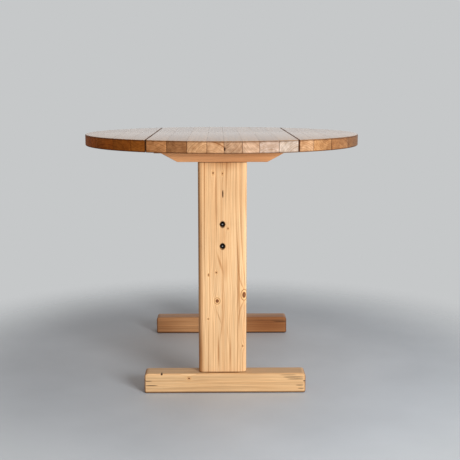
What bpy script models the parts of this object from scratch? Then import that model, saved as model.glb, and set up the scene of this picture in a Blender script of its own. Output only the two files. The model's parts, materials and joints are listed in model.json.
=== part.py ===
"""A round drop leaf table on a two-post trestle base.

Metres, +Z up. The origin is on the floor under the middle of the round top. The boards of the top
run along Y, the two leaves are at -X and +X and hinge down about axes along Y, and the two posts
stand at -Y (front) and +Y (rear).
"""

from math import acos, cos, hypot, pi, sin, tau

import bmesh
import bpy
from mathutils import Matrix, Vector

# Gaps
GAP = 0.0003              # between pieces that touch on the real table
SLIDE_GAP = 0.0005        # between a loper and what it runs against
SEAM = 0.0025             # open seam between the centre section and a leaf

# Top
TOP_HEIGHT = 0.735
TOP_THICKNESS = 0.034
TOP_RADIUS = 0.425
CENTRE_PLANKS = (0.058, 0.055, 0.054, 0.046, 0.049, 0.047, 0.054, 0.055)   # widths, from -X to +X
LEAF_PLANKS = (0.042, 0.055, 0.059)     # widths from the seam outwards; the last board takes the rest
RIM_ROUND = 0.003
RIM_SEGMENTS = 2
ARC_STEP = tau / 144      # angle between neighbouring points of the round outline

# Base
FOOT_LENGTH = 0.468
FOOT_DEPTH = 0.058
FOOT_HEIGHT = 0.0585
FOOT_OUTER_Y = 0.337      # outer face of each foot
FOOT_SHIFT = {"front": 0.007, "rear": 0.0}       # how far each foot sits to the right of its post's middle
FOOT_ROUND = 0.009        # the most worn edge; the others are a share of it
POST_WIDTH = 0.138
POST_THICKNESS = 0.032
POST_OUTER_Y = 0.324
POST_ROUND = 0.012
BEARER_LENGTH = 0.343
BEARER_FLAT = 0.252       # length of its underside, between the two slanted ends
BEARER_BLUNT = 0.005      # height of the blunt end above each slant
BEARER_HEIGHT = 0.0295
BEARER_DEPTH = 0.044
BEARER_OUTER_Y = 0.328
BEARER_ROUND = 0.0015
TENON_WIDTH = 0.090
TENON_THICKNESS = 0.014
FOOT_TENON = 0.035        # how far each tenon goes in
BEARER_TENON = 0.028
STRETCHER_HEIGHT = 0.115
STRETCHER_THICKNESS = 0.032
STRETCHER_ROUND = 0.003

# Bolts through the posts into the stretcher
BOLT_HEIGHTS = {"upper": 0.494, "lower": 0.431}
BOLT_RADIUS = 0.004
BOLT_HEAD_RADIUS = 0.0065
BOLT_HEAD_HEIGHT = 0.0048
BOLT_HEAD_ROUND = 0.0022
BOLT_CHAMFER = 0.0008
BOLT_LENGTH = 0.080
COUNTERBORE_RADIUS = 0.0088
COUNTERBORE_DEPTH = 0.008
NUT_RADIUS = 0.006
NUT_LENGTH = 0.024
NUT_INSET = 0.040         # from the stretcher's end to the barrel nut's axis

# Hinges
HINGE_Y = 0.240
HINGE_LENGTH = 0.050
HINGE_DROP = 0.004        # from the underside of the top down to the pin's axis
KNUCKLE_RADIUS = 0.0037
KNUCKLE_SIDE = 0.0142     # length of each outer knuckle
KNUCKLE_GAP = 0.0004
FLAP_THICKNESS = 0.002
FLAP_WIDTH = 0.034        # from the axis to the flap's far edge
FLAP_NOTCH = 0.0042       # from the axis to the flap's near edge, beside the other flap's knuckles
PIN_RADIUS = 0.0016
PIN_HEAD_RADIUS = 0.0026
PIN_HEAD = 0.0008
SCREW_RADIUS = 0.002
SCREW_HEAD_RADIUS = 0.004
SCREW_PLACES = ((0.012, -0.017), (0.012, 0.017), (0.026, 0.0))   # (from the axis, along the hinge)

# Lopers and their housings
HOUSING_Y = 0.130         # middle of each housing
LOPER_LENGTH = 0.360
LOPER_WIDTH = 0.040
LOPER_THICKNESS = 0.017
LOPER_END_X = 0.203       # outer end when pushed in
LOPER_LEAD = (0.012, 0.004)      # length and height of the lead-in at the outer end
LOPER_TRAVEL = 0.150
LOPER_ROUND = 0.001
RAIL_LENGTH = 0.340
RAIL_WIDTH = 0.022
RAIL_ROUND = 0.0015
KEEPER_WIDTH = 0.030
KEEPER_LENGTH = 0.121
KEEPER_THICKNESS = 0.004
KEEPER_ROUND = 0.0008
PEG_RADIUS = 0.004
PEG_HOLE_DEPTH = 0.012
PEG_STICKS_OUT = 0.0045
STOP_GAP = 0.0005         # left between a peg and its keeper at each end of the travel

# Worked out from the sizes above
UNDERSIDE = TOP_HEIGHT - TOP_THICKNESS
CENTRE_HALF = sum(CENTRE_PLANKS) / 2
LEAF_INNER = CENTRE_HALF + SEAM
HINGE_X = CENTRE_HALF + SEAM / 2
HINGE_Z = UNDERSIDE - HINGE_DROP
POST_INNER_Y = POST_OUTER_Y - POST_THICKNESS
POST_MID_Y = (POST_OUTER_Y + POST_INNER_Y) / 2
POST_TOP = UNDERSIDE - GAP - BEARER_HEIGHT - GAP
BOLT_SEAT_Y = POST_OUTER_Y - COUNTERBORE_DEPTH
NUT_Y = POST_INNER_Y - GAP - NUT_INSET
LANE = LOPER_WIDTH + SLIDE_GAP
RAIL_INNER = LANE + SLIDE_GAP / 2
RAIL_HEIGHT = SLIDE_GAP + LOPER_THICKNESS + SLIDE_GAP
PEG_X = LOPER_TRAVEL / 2
KEEPER_INNER_X = PEG_X + PEG_RADIUS + STOP_GAP

SIDES = {"left": -1, "right": 1}
ENDS = {"front": -1, "rear": 1}

# Modelling
CUT_PAST = 0.001          # how far a cutter reaches past a face
MERGE = 0.00001           # points closer than this are the same
HOLE_SEGMENTS = 16
SHARP_ANGLE = pi / 5

# Colours: linear base colour, roughness, metallic
FINISHES = {
    "top_pine": ((0.56, 0.32, 0.14), 0.35, 0.0),
    "base_pine": ((0.72, 0.46, 0.22), 0.55, 0.0),
    "bearer_pine": ((0.50, 0.25, 0.10), 0.55, 0.0),
    "plain_pine": ((0.62, 0.40, 0.20), 0.65, 0.0),
    "loper_beech": ((0.58, 0.36, 0.20), 0.45, 0.0),
    "dark_steel": ((0.10, 0.09, 0.08), 0.45, 1.0),
    "zinc_steel": ((0.42, 0.42, 0.40), 0.40, 1.0),
}


def clear_scene():
    for obj in list(bpy.data.objects):
        bpy.data.objects.remove(obj, do_unlink=True)


def finish(name):
    """The named Principled material, made the first time that it is asked for."""
    material = bpy.data.materials.get(name)
    if material is None:
        colour, roughness, metallic = FINISHES[name]
        material = bpy.data.materials.new(name)
        material.use_nodes = True
        shader = material.node_tree.nodes["Principled BSDF"]
        shader.inputs["Base Color"].default_value = (*colour, 1.0)
        shader.inputs["Roughness"].default_value = roughness
        shader.inputs["Metallic"].default_value = metallic
    return material


def add_object(name, mesh, material, place=(0, 0, 0), turn=0.0, parent=None):
    """Links a mesh into the scene at a place in world space, turned about Z."""
    obj = bpy.data.objects.new(name, mesh)
    bpy.context.scene.collection.objects.link(obj)
    if material and not mesh.materials:
        mesh.materials.append(finish(material))
    obj.location = place
    obj.rotation_euler.z = turn
    if parent:
        obj.parent = parent
        obj.location = Vector(place) - parent.location
    return obj


def mesh_from(name, bm, smooth=False):
    bmesh.ops.recalc_face_normals(bm, faces=bm.faces)
    mesh = bpy.data.meshes.new(name)
    bm.to_mesh(mesh)
    bm.free()
    if smooth:
        mesh.shade_smooth()
        mesh.set_sharp_from_angle(angle=SHARP_ANGLE)
    return mesh


def add_empty(name, place):
    """An empty on a joint's axis, which the pieces that move on that joint hang from."""
    empty = bpy.data.objects.new(name, None)
    bpy.context.scene.collection.objects.link(empty)
    empty.location = place
    return empty


def box(size, centre=(0, 0, 0)):
    bm = bmesh.new()
    place = Matrix.Translation(centre) @ Matrix.Diagonal((*size, 1.0))
    bmesh.ops.create_cube(bm, size=1.0, matrix=place)
    return bm


def rod(*args, **options):
    bm = bmesh.new()
    add_rod(bm, *args, **options)
    return bm


def add_rod(bm, radius, low, high, along="Y", through=(0, 0), segments=24, high_radius=None):
    """Adds a cylinder or cone to bm, from low to high along one axis, through a point of the other two."""
    middle = (low + high) / 2
    first, second = through
    turn, centre = {
        "X": (Matrix.Rotation(pi / 2, 4, "Y"), (middle, first, second)),
        "Y": (Matrix.Rotation(-pi / 2, 4, "X"), (first, middle, second)),
        "Z": (Matrix(), (first, second, middle)),
    }[along]
    bmesh.ops.create_cone(
        bm,
        cap_ends=True,
        segments=segments,
        radius1=radius,
        radius2=radius if high_radius is None else high_radius,
        depth=high - low,
        matrix=Matrix.Translation(centre) @ turn,
    )


def turned(profile, segments=24):
    """Turns (radius, y) points about the Y axis into a closed shape. The first and last are on the axis."""
    bm = bmesh.new()
    verts = [bm.verts.new((radius, y, 0)) for radius, y in profile]
    edges = [bm.edges.new(pair) for pair in zip(verts, verts[1:])]
    bmesh.ops.spin(bm, geom=verts + edges, axis=(0, 1, 0), angle=tau, steps=segments, use_merge=True)
    bmesh.ops.remove_doubles(bm, verts=bm.verts, dist=MERGE)
    return bm


def prism(outline, thickness):
    """A closed prism: the outline, as (x, y) points, from z = 0 up to the thickness."""
    bm = bmesh.new()
    base = bm.faces.new([bm.verts.new((x, y, 0.0)) for x, y in outline])
    made = bmesh.ops.extrude_face_region(bm, geom=[base])["geom"]
    raised = [item for item in made if isinstance(item, bmesh.types.BMVert)]
    bmesh.ops.translate(bm, vec=(0, 0, thickness), verts=raised)
    return bm


def add_cutter(name, bm):
    """A hidden helper object that Boolean modifiers cut with."""
    obj = add_object(name, mesh_from(name, bm), None)
    obj.hide_render = True
    obj.display_type = "WIRE"
    return obj


def cut(obj, cutter, operation="DIFFERENCE"):
    modifier = obj.modifiers.new(cutter.name, "BOOLEAN")
    modifier.operation = operation
    modifier.solver = "EXACT"
    modifier.object = cutter


def add_round(obj, width, segments=2):
    """Rounds the edges that carry a bevel weight, or all sharp edges if none does."""
    modifier = obj.modifiers.new("round", "BEVEL")
    modifier.width = width
    modifier.segments = segments
    weighted = "bevel_weight_edge" in obj.data.attributes
    modifier.limit_method = "WEIGHT" if weighted else "ANGLE"


def set_weights(bm, weight_of):
    """Gives each edge the bevel weight that weight_of(middle, direction) returns."""
    layer = bm.edges.layers.float.new("bevel_weight_edge")
    for edge in bm.edges:
        start, end = (vert.co for vert in edge.verts)
        edge[layer] = weight_of((start + end) / 2, (end - start).normalized())


# ---------------------------------------------------------------- the boards of the top


def arc_points(x_from, x_to, side):
    """Points of the round outline between two x places, on the front (-1) or rear (+1) side."""
    first, last = acos(x_from / TOP_RADIUS), acos(x_to / TOP_RADIUS)
    steps = max(2, round(abs(last - first) / ARC_STEP))
    angles = [first + (last - first) * step / steps for step in range(steps + 1)]
    return [(TOP_RADIUS * cos(angle), side * TOP_RADIUS * sin(angle)) for angle in angles]


def plank_outline(x_low, x_high):
    """A board of the top seen from above: straight joints at both sides, and the round rim at its ends."""
    front = arc_points(x_low, x_high, -1)
    rear = arc_points(x_high, x_low, 1)
    if x_high >= TOP_RADIUS:
        rear = rear[1:]
    if x_low <= -TOP_RADIUS:
        front = front[1:]
    return front + rear


def on_rim(point):
    return hypot(point.x, point.y) > TOP_RADIUS - MERGE


def add_plank(name, x_low, x_high, pivot=None):
    bm = prism(plank_outline(x_low, x_high), TOP_THICKNESS)
    rim = [edge for edge in bm.edges if all(on_rim(vert.co) for vert in edge.verts)]
    arcs = [edge for edge in rim if edge.calc_length() < 2 * ARC_STEP * TOP_RADIUS]
    level = [edge for edge in arcs if abs(edge.verts[0].co.z - edge.verts[1].co.z) < MERGE]
    bmesh.ops.bevel(bm, geom=level, offset=RIM_ROUND, segments=RIM_SEGMENTS, profile=0.5, affect="EDGES")
    mesh = mesh_from(name, bm, smooth=True)
    add_object(name, mesh, "top_pine", (0, 0, UNDERSIDE), parent=pivot)


def add_centre():
    x_low = -CENTRE_HALF
    for number, width in enumerate(CENTRE_PLANKS, 1):
        last = number == len(CENTRE_PLANKS)
        add_plank(f"centre_plank_{number}", x_low, x_low + width - (0 if last else GAP))
        x_low += width


def add_leaf(side_name, side, pivot):
    """The boards of one leaf, on the empty that lies on its hinge axis."""
    inner = LEAF_INNER
    for number in range(1, len(LEAF_PLANKS) + 2):
        last = number > len(LEAF_PLANKS)
        outer = TOP_RADIUS if last else inner + LEAF_PLANKS[number - 1]
        edge = outer if last else outer - GAP
        low, high = sorted((side * inner, side * edge))
        add_plank(f"{side_name}_leaf_plank_{number}", low, high, pivot)
        inner = outer


# ---------------------------------------------------------------- the base


def foot_weight(middle, direction):
    """Feet are worn most at the top of their ends, and least along the floor."""
    on_top = middle.z > FOOT_HEIGHT - MERGE
    across_end = abs(direction.y) > 0.5
    if abs(direction.z) > 0.5:
        return 0.6
    if on_top:
        return 1.0 if across_end else 0.4
    return 0.6 if across_end else 0.3


def add_foot(end_name, end):
    bm = box((FOOT_LENGTH, FOOT_DEPTH, FOOT_HEIGHT), (0, 0, FOOT_HEIGHT / 2))
    set_weights(bm, foot_weight)
    centre_y = FOOT_OUTER_Y - FOOT_DEPTH / 2
    place = (FOOT_SHIFT[end_name], end * centre_y, 0)
    foot = add_object(f"{end_name}_foot", mesh_from("foot", bm), "base_pine", place)
    add_round(foot, FOOT_ROUND, 3)
    cut_mortise(foot, end, FOOT_HEIGHT, FOOT_TENON + GAP)


def cut_mortise(obj, end, height, reach):
    """Cuts a post's mortise, reaching as far below the given height as above it."""
    size = (TENON_WIDTH + 2 * GAP, TENON_THICKNESS + 2 * GAP, 2 * reach)
    cut(obj, add_cutter(f"{obj.name}_mortise", box(size, (0, end * POST_MID_Y, height))))


def bearer_outline():
    """Half a hexagon, seen from the front: blunt tips, slanted ends and a flat underside."""
    tip, flat = BEARER_LENGTH / 2, BEARER_FLAT / 2
    return [
        (-tip, 0.0),
        (-tip, -BEARER_BLUNT),
        (-flat, -BEARER_HEIGHT),
        (flat, -BEARER_HEIGHT),
        (tip, -BEARER_BLUNT),
        (tip, 0.0),
    ]


def add_bearer(end_name, end):
    bm = prism(bearer_outline(), BEARER_DEPTH)
    set_weights(bm, lambda middle, direction: 0.0 if middle.y > -MERGE else 1.0)
    mesh = mesh_from("bearer", bm)
    mesh.transform(Matrix.Rotation(pi / 2, 4, "X"))
    outer = end * BEARER_OUTER_Y
    rear_face = outer + BEARER_DEPTH if end < 0 else outer
    bearer = add_object(f"{end_name}_bearer", mesh, "bearer_pine", (0, rear_face, UNDERSIDE - GAP))
    add_round(bearer, BEARER_ROUND)
    cut_mortise(bearer, end, UNDERSIDE, 2 * BEARER_HEIGHT)


def post_mesh():
    """The upright board, with its long edges rounded."""
    bottom = FOOT_HEIGHT + GAP
    bm = box((POST_WIDTH, POST_THICKNESS, POST_TOP - bottom), (0, 0, (POST_TOP + bottom) / 2))
    upright = [edge for edge in bm.edges if abs(edge.verts[0].co.z - edge.verts[1].co.z) > MERGE]
    bmesh.ops.bevel(bm, geom=upright, offset=POST_ROUND, segments=4, profile=0.5, affect="EDGES")
    return mesh_from("post", bm, smooth=True)


def drill(obj, name, radius, y_from, y_to, height):
    """Drills a hole along Y, at the middle of the post or stretcher."""
    low, high = sorted((y_from, y_to))
    cut(obj, add_cutter(name, rod(radius, low, high, through=(0, height), segments=HOLE_SEGMENTS)))


def add_post(end_name, end):
    post = add_object(f"{end_name}_post", post_mesh(), "base_pine", (0, end * POST_MID_Y, 0))
    low, high = FOOT_HEIGHT - FOOT_TENON, UNDERSIDE - BEARER_HEIGHT + BEARER_TENON
    size = (TENON_WIDTH, TENON_THICKNESS, high - low)
    tenons = box(size, (0, end * POST_MID_Y, (low + high) / 2))
    cut(post, add_cutter(f"{end_name}_tenons", tenons), "UNION")
    for level, height in BOLT_HEIGHTS.items():
        outside = end * (POST_OUTER_Y + CUT_PAST)
        name = f"{end_name}_post_{level}"
        drill(post, f"{name}_counterbore", COUNTERBORE_RADIUS, end * BOLT_SEAT_Y, outside, height)
        drill(post, f"{name}_hole", BOLT_RADIUS + GAP, end * (POST_INNER_Y - CUT_PAST), outside, height)


def add_stretcher():
    half_length = POST_INNER_Y - GAP
    middle = sum(BOLT_HEIGHTS.values()) / 2
    bm = box((STRETCHER_THICKNESS, 2 * half_length, STRETCHER_HEIGHT))
    set_weights(bm, lambda middle, direction: 1.0 if abs(direction.y) > 0.5 else 0.2)
    stretcher = add_object("stretcher", mesh_from("stretcher", bm), "base_pine", (0, 0, middle))
    add_round(stretcher, STRETCHER_ROUND)
    for end_name, end in ENDS.items():
        for level, height in BOLT_HEIGHTS.items():
            name = f"stretcher_{end_name}_{level}"
            deepest, outside = end * (BOLT_SEAT_Y - BOLT_LENGTH - CUT_PAST), end * (half_length + CUT_PAST)
            drill(stretcher, f"{name}_hole", BOLT_RADIUS + GAP, deepest, outside, height)
            reach = STRETCHER_THICKNESS / 2 + CUT_PAST
            across = rod(NUT_RADIUS + GAP, -reach, reach, "X", (end * NUT_Y, height), HOLE_SEGMENTS)
            cut(stretcher, add_cutter(f"{name}_nut_hole", across))


def bolt_mesh():
    """A bolt along Y, with its seat at y = 0, its shank at -Y and its domed head at +Y."""
    tip, rounded = -BOLT_LENGTH, BOLT_HEAD_HEIGHT - BOLT_HEAD_ROUND
    profile = [(0.0, tip), (BOLT_RADIUS - BOLT_CHAMFER, tip), (BOLT_RADIUS, tip + BOLT_CHAMFER)]
    profile += [(BOLT_RADIUS, GAP), (BOLT_HEAD_RADIUS, GAP)]
    for angle in (0, pi / 6, pi / 3, pi / 2):
        radius = BOLT_HEAD_RADIUS - BOLT_HEAD_ROUND * (1 - cos(angle))
        profile.append((radius, rounded + BOLT_HEAD_ROUND * sin(angle)))
    profile.append((0.0, BOLT_HEAD_HEIGHT))
    return mesh_from("bolt", turned(profile, 20), smooth=True)


def add_bolts():
    """The bolts, and the barrel nuts across the stretcher that they screw into."""
    bolt = bolt_mesh()
    nut = mesh_from("barrel_nut", rod(NUT_RADIUS, -NUT_LENGTH / 2, NUT_LENGTH / 2, "X"), smooth=True)
    for end_name, end in ENDS.items():
        for level, height in BOLT_HEIGHTS.items():
            turn = 0.0 if end > 0 else pi
            add_object(f"{end_name}_bolt_{level}", bolt, "dark_steel", (0, end * BOLT_SEAT_Y, height), turn)
            barrel = add_object(f"{end_name}_barrel_nut_{level}", nut, "zinc_steel", (0, end * NUT_Y, height))
            ends = (end * NUT_Y - 2 * NUT_RADIUS, end * NUT_Y + 2 * NUT_RADIUS)
            drill(barrel, f"{barrel.name}_hole", BOLT_RADIUS + GAP, *ends, height)


# ---------------------------------------------------------------- the hinges


def knuckle_spans(moving):
    """The (start, end) places along the hinge of one flap's knuckles."""
    half = HINGE_LENGTH / 2
    inner = half - KNUCKLE_SIDE
    if moving:
        return [(-inner + KNUCKLE_GAP, inner - KNUCKLE_GAP)]
    return [(-half, -inner), (inner, half)]


def flap_outline(moving):
    """A flap seen from above, at +X of the axis, reaching in to the axis beside its own knuckles only."""
    half = HINGE_LENGTH / 2
    corner = 0.004
    points = [(FLAP_WIDTH - corner, -half), (FLAP_WIDTH, -half + corner), (FLAP_WIDTH, half - corner)]
    points.append((FLAP_WIDTH - corner, half))
    inward = []
    for start, end in reversed(knuckle_spans(moving)):
        inward += [(FLAP_NOTCH, end), (0.0, end), (0.0, start), (FLAP_NOTCH, start)]
    if moving:
        return points + [(FLAP_NOTCH, half)] + inward + [(FLAP_NOTCH, -half)]
    return points + inward[1:-1]


def flap_tools(name, moving):
    """Hidden helpers about the hinge's axis: the knuckles, the pin's bore and the countersunk screw holes."""
    barrels, sinks, holes = bmesh.new(), bmesh.new(), bmesh.new()
    for start, end in knuckle_spans(moving):
        add_rod(barrels, KNUCKLE_RADIUS, start, end, segments=20)
    bore = rod(PIN_RADIUS + GAP, -HINGE_LENGTH, HINGE_LENGTH, segments=HOLE_SEGMENTS)
    low, high = KNUCKLE_RADIUS - FLAP_THICKNESS, KNUCKLE_RADIUS
    sink = SCREW_HEAD_RADIUS - SCREW_RADIUS
    for place in SCREW_PLACES:
        wide, deep = SCREW_HEAD_RADIUS + CUT_PAST, low + sink
        add_rod(sinks, wide, low - CUT_PAST, deep, "Z", place, HOLE_SEGMENTS, SCREW_RADIUS)
        add_rod(holes, SCREW_RADIUS, low - CUT_PAST, high + CUT_PAST, "Z", place, HOLE_SEGMENTS)
    return [
        (add_cutter(f"{name}_barrels", barrels), "UNION"),
        (add_cutter(f"{name}_bore", bore), "DIFFERENCE"),
        (add_cutter(f"{name}_countersinks", sinks), "DIFFERENCE"),
        (add_cutter(f"{name}_screw_holes", holes), "DIFFERENCE"),
    ]


def flap_mesh(moving):
    """A finished flap about the hinge's axis, its plate level with the top of the knuckles."""
    name = "moving_flap" if moving else "fixed_flap"
    mesh = mesh_from(name, prism(flap_outline(moving), FLAP_THICKNESS))
    mesh.transform(Matrix.Translation((0, 0, KNUCKLE_RADIUS - FLAP_THICKNESS)))
    blank = add_object(f"{name}_blank", mesh, "zinc_steel")
    tools = flap_tools(name, moving)
    for tool, operation in tools:
        cut(blank, tool, operation)
    graph = bpy.context.evaluated_depsgraph_get()
    finished = bpy.data.meshes.new_from_object(blank.evaluated_get(graph))
    for obj in [blank] + [tool for tool, operation in tools]:
        bpy.data.objects.remove(obj, do_unlink=True)
    finished.shade_smooth()
    finished.set_sharp_from_angle(angle=SHARP_ANGLE)
    return finished


def pin_mesh():
    half = HINGE_LENGTH / 2 + GAP
    end = half + PIN_HEAD
    upper = [(PIN_RADIUS, half), (PIN_HEAD_RADIUS, half), (PIN_HEAD_RADIUS, half + PIN_HEAD / 2)]
    upper += [(PIN_HEAD_RADIUS - PIN_HEAD / 2, end), (0.0, end)]
    lower = [(radius, -y) for radius, y in reversed(upper)]
    return mesh_from("hinge_pin", turned(lower + upper, HOLE_SEGMENTS), smooth=True)


def add_hinges(pivots):
    moving, fixed, pin = flap_mesh(True), flap_mesh(False), pin_mesh()
    for side_name, side in SIDES.items():
        outward = 0.0 if side > 0 else pi
        for end_name, end in ENDS.items():
            place = (side * HINGE_X, end * HINGE_Y, HINGE_Z)
            name = f"{side_name}_{end_name}_hinge"
            add_object(f"{name}_fixed_flap", fixed, "zinc_steel", place, outward + pi)
            add_object(f"{name}_moving_flap", moving, "zinc_steel", place, outward, pivots[side_name])
            add_object(f"{name}_pin", pin, "zinc_steel", place)


# ---------------------------------------------------------------- the lopers


def loper_outline(side):
    """A loper seen from the front, with a lead-in at the top of its outer end."""
    length, height = LOPER_LEAD
    inner = LOPER_END_X - LOPER_LENGTH
    points = [
        (inner, 0.0),
        (LOPER_END_X, 0.0),
        (LOPER_END_X, LOPER_THICKNESS - height),
        (LOPER_END_X - length, LOPER_THICKNESS),
        (inner, LOPER_THICKNESS),
    ]
    return [(side * x, z) for x, z in points]


def add_loper(side_name, side, end_name, end):
    """A pull-out bar and its stop peg. The lanes are set so that opposite lopers run side by side."""
    name = f"{side_name}_{end_name}_loper"
    bottom = UNDERSIDE - SLIDE_GAP - LOPER_THICKNESS
    slide = add_empty(f"{name}_slide", (-side * PEG_X, end * HOUSING_Y + side * LANE / 2, bottom))
    mesh = mesh_from(name, prism(loper_outline(side), LOPER_WIDTH))
    mesh.transform(Matrix.Rotation(pi / 2, 4, "X"))
    mesh.transform(Matrix.Translation((side * PEG_X, LOPER_WIDTH / 2, 0)))
    loper = add_object(name, mesh, "loper_beech", slide.location, parent=slide)
    add_round(loper, LOPER_ROUND)
    place = slide.location.xy
    hole = rod(PEG_RADIUS + GAP, bottom - CUT_PAST, bottom + PEG_HOLE_DEPTH, "Z", place, HOLE_SEGMENTS)
    cut(loper, add_cutter(f"{name}_peg_hole", hole))
    peg = rod(PEG_RADIUS, -PEG_STICKS_OUT, PEG_HOLE_DEPTH - GAP, "Z", segments=HOLE_SEGMENTS)
    add_object(f"{name}_peg", mesh_from("peg", peg, smooth=True), "plain_pine", slide.location, parent=slide)


def add_housing(end_name, end):
    """Two rails under the top, with two straps across their undersides that keep the lopers up."""
    rail_mesh = mesh_from("guide_rail", box((RAIL_LENGTH, RAIL_WIDTH, RAIL_HEIGHT)))
    offset = RAIL_INNER + RAIL_WIDTH / 2
    rail_z = UNDERSIDE - GAP - RAIL_HEIGHT / 2
    for rail_name, outward in (("outer", end), ("inner", -end)):
        place = (0, end * HOUSING_Y + outward * offset, rail_z)
        rail = add_object(f"{end_name}_{rail_name}_guide_rail", rail_mesh, "plain_pine", place)
        add_round(rail, RAIL_ROUND)
    keeper_mesh = mesh_from("keeper", box((KEEPER_WIDTH, KEEPER_LENGTH, KEEPER_THICKNESS)))
    keeper_z = UNDERSIDE - 2 * GAP - RAIL_HEIGHT - KEEPER_THICKNESS / 2
    for side_name, side in SIDES.items():
        place = (side * (KEEPER_INNER_X + KEEPER_WIDTH / 2), end * HOUSING_Y, keeper_z)
        keeper = add_object(f"{end_name}_{side_name}_keeper", keeper_mesh, "plain_pine", place)
        add_round(keeper, KEEPER_ROUND)


def main():
    clear_scene()
    add_centre()
    pivots = {}
    for side_name, side in SIDES.items():
        pivots[side_name] = add_empty(f"{side_name}_leaf_pivot", (side * HINGE_X, 0, HINGE_Z))
        add_leaf(side_name, side, pivots[side_name])
    add_hinges(pivots)
    for end_name, end in ENDS.items():
        add_foot(end_name, end)
        add_post(end_name, end)
        add_bearer(end_name, end)
        add_housing(end_name, end)
        for side_name, side in SIDES.items():
            add_loper(side_name, side, end_name, end)
    add_stretcher()
    add_bolts()


main()
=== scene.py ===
"""Looks of the drop leaf table: varnished pine, black bolts, zinc hinges, a pale floor and soft light.

Sizes are in metres, with +Z up and the front towards -Y. Where a board or a screw lies comes from the
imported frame's own boxes; the marks on the boards are placed in the frame's coordinates.
"""

import json
import math
from dataclasses import dataclass, replace

import bmesh
import bpy
from mathutils import Matrix, Vector, noise

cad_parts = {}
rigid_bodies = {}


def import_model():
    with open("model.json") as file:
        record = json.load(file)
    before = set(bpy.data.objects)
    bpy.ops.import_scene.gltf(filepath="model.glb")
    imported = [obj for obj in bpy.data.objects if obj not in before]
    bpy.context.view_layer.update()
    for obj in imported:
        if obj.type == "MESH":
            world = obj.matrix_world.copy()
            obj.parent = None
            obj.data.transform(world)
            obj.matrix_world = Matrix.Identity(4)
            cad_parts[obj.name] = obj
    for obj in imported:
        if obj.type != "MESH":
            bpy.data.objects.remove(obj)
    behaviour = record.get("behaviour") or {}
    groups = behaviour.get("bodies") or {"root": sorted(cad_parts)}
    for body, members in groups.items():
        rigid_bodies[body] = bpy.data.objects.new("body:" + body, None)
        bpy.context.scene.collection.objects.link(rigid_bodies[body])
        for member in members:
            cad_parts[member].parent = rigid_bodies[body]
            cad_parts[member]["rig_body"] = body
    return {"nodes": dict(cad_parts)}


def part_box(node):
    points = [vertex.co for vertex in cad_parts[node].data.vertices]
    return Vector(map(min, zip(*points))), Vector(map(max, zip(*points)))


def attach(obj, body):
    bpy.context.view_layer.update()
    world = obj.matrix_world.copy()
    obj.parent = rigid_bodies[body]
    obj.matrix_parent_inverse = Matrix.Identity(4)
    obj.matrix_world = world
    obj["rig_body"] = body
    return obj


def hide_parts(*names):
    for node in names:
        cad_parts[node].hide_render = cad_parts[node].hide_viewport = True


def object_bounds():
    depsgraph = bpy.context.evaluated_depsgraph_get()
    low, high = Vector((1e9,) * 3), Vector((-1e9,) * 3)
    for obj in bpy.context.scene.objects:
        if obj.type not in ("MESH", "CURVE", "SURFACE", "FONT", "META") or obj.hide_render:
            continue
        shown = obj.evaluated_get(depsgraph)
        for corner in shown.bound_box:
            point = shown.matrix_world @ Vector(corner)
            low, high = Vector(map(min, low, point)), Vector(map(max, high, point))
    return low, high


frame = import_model()
cad_low, cad_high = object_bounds()
nodes = frame["nodes"]

SHARP_ANGLE = math.radians(32)
MERGE = 0.00001


# ---------------------------------------------------------------- shader helpers

class Graph:
    """Adds shader nodes to a material. Its methods take sockets or plain values, and return a socket."""

    def __init__(self, tree):
        self.tree = tree

    def node(self, kind, settings=None, inputs=None):
        made = self.tree.nodes.new(kind)
        for name, value in (settings or {}).items():
            setattr(made, name, value)
        for name, value in (inputs or {}).items():
            self.feed(made.inputs[name], value)
        return made

    def feed(self, socket, value):
        if isinstance(value, bpy.types.NodeSocket):
            self.tree.links.new(value, socket)
        else:
            socket.default_value = value

    def math(self, operation, *values, clamp=False):
        made = self.node("ShaderNodeMath", {"operation": operation, "use_clamp": clamp})
        for socket, value in zip(made.inputs, values):
            self.feed(socket, value)
        return made.outputs[0]

    def vector(self, operation, *values, output="Vector"):
        made = self.node("ShaderNodeVectorMath", {"operation": operation})
        for socket, value in zip(made.inputs, values):
            self.feed(socket, value)
        return made.outputs[output]

    def length(self, vector):
        return self.vector("LENGTH", vector, output="Value")

    def split(self, vector):
        return self.node("ShaderNodeSeparateXYZ", inputs={"Vector": vector}).outputs

    def join(self, x=0.0, y=0.0, z=0.0):
        return self.node("ShaderNodeCombineXYZ", inputs={"X": x, "Y": y, "Z": z}).outputs[0]

    def noise(self, point, scale=(1.0, 1.0, 1.0), detail=2.0, output="Fac"):
        stretched = self.vector("MULTIPLY", point, scale)
        inputs = {"Vector": stretched, "Scale": 1.0, "Detail": detail}
        return self.node("ShaderNodeTexNoise", inputs=inputs).outputs[output]

    def smooth(self, value, low, high):
        """0 at low and 1 at high, with an S-curve between. Low may be the larger of the two."""
        made = self.node("ShaderNodeMapRange", {"interpolation_type": "SMOOTHSTEP"})
        for name, number in (("Value", value), ("From Min", low), ("From Max", high)):
            self.feed(made.inputs[name], number)
        return made.outputs["Result"]

    def mix(self, factor, first, second, blend="MIX"):
        made = self.node("ShaderNodeMix", {"data_type": "RGBA", "blend_type": blend})
        for index, value in ((0, factor), (6, first), (7, second)):
            self.feed(made.inputs[index], value)
        return made.outputs[2]

    def tint(self, factor, colour, multiplier):
        """The colour, multiplied by another one as far as factor says."""
        return self.mix(factor, colour, multiplier, "MULTIPLY")

    def ramp(self, value, stops):
        made = self.node("ShaderNodeValToRGB", inputs={"Fac": value})
        elements = made.color_ramp.elements
        while len(elements) < len(stops):
            elements.new(0.5)
        for element, (position, colour) in zip(elements, stops):
            element.position = position
            element.color = colour
        return made.outputs["Color"]


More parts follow.
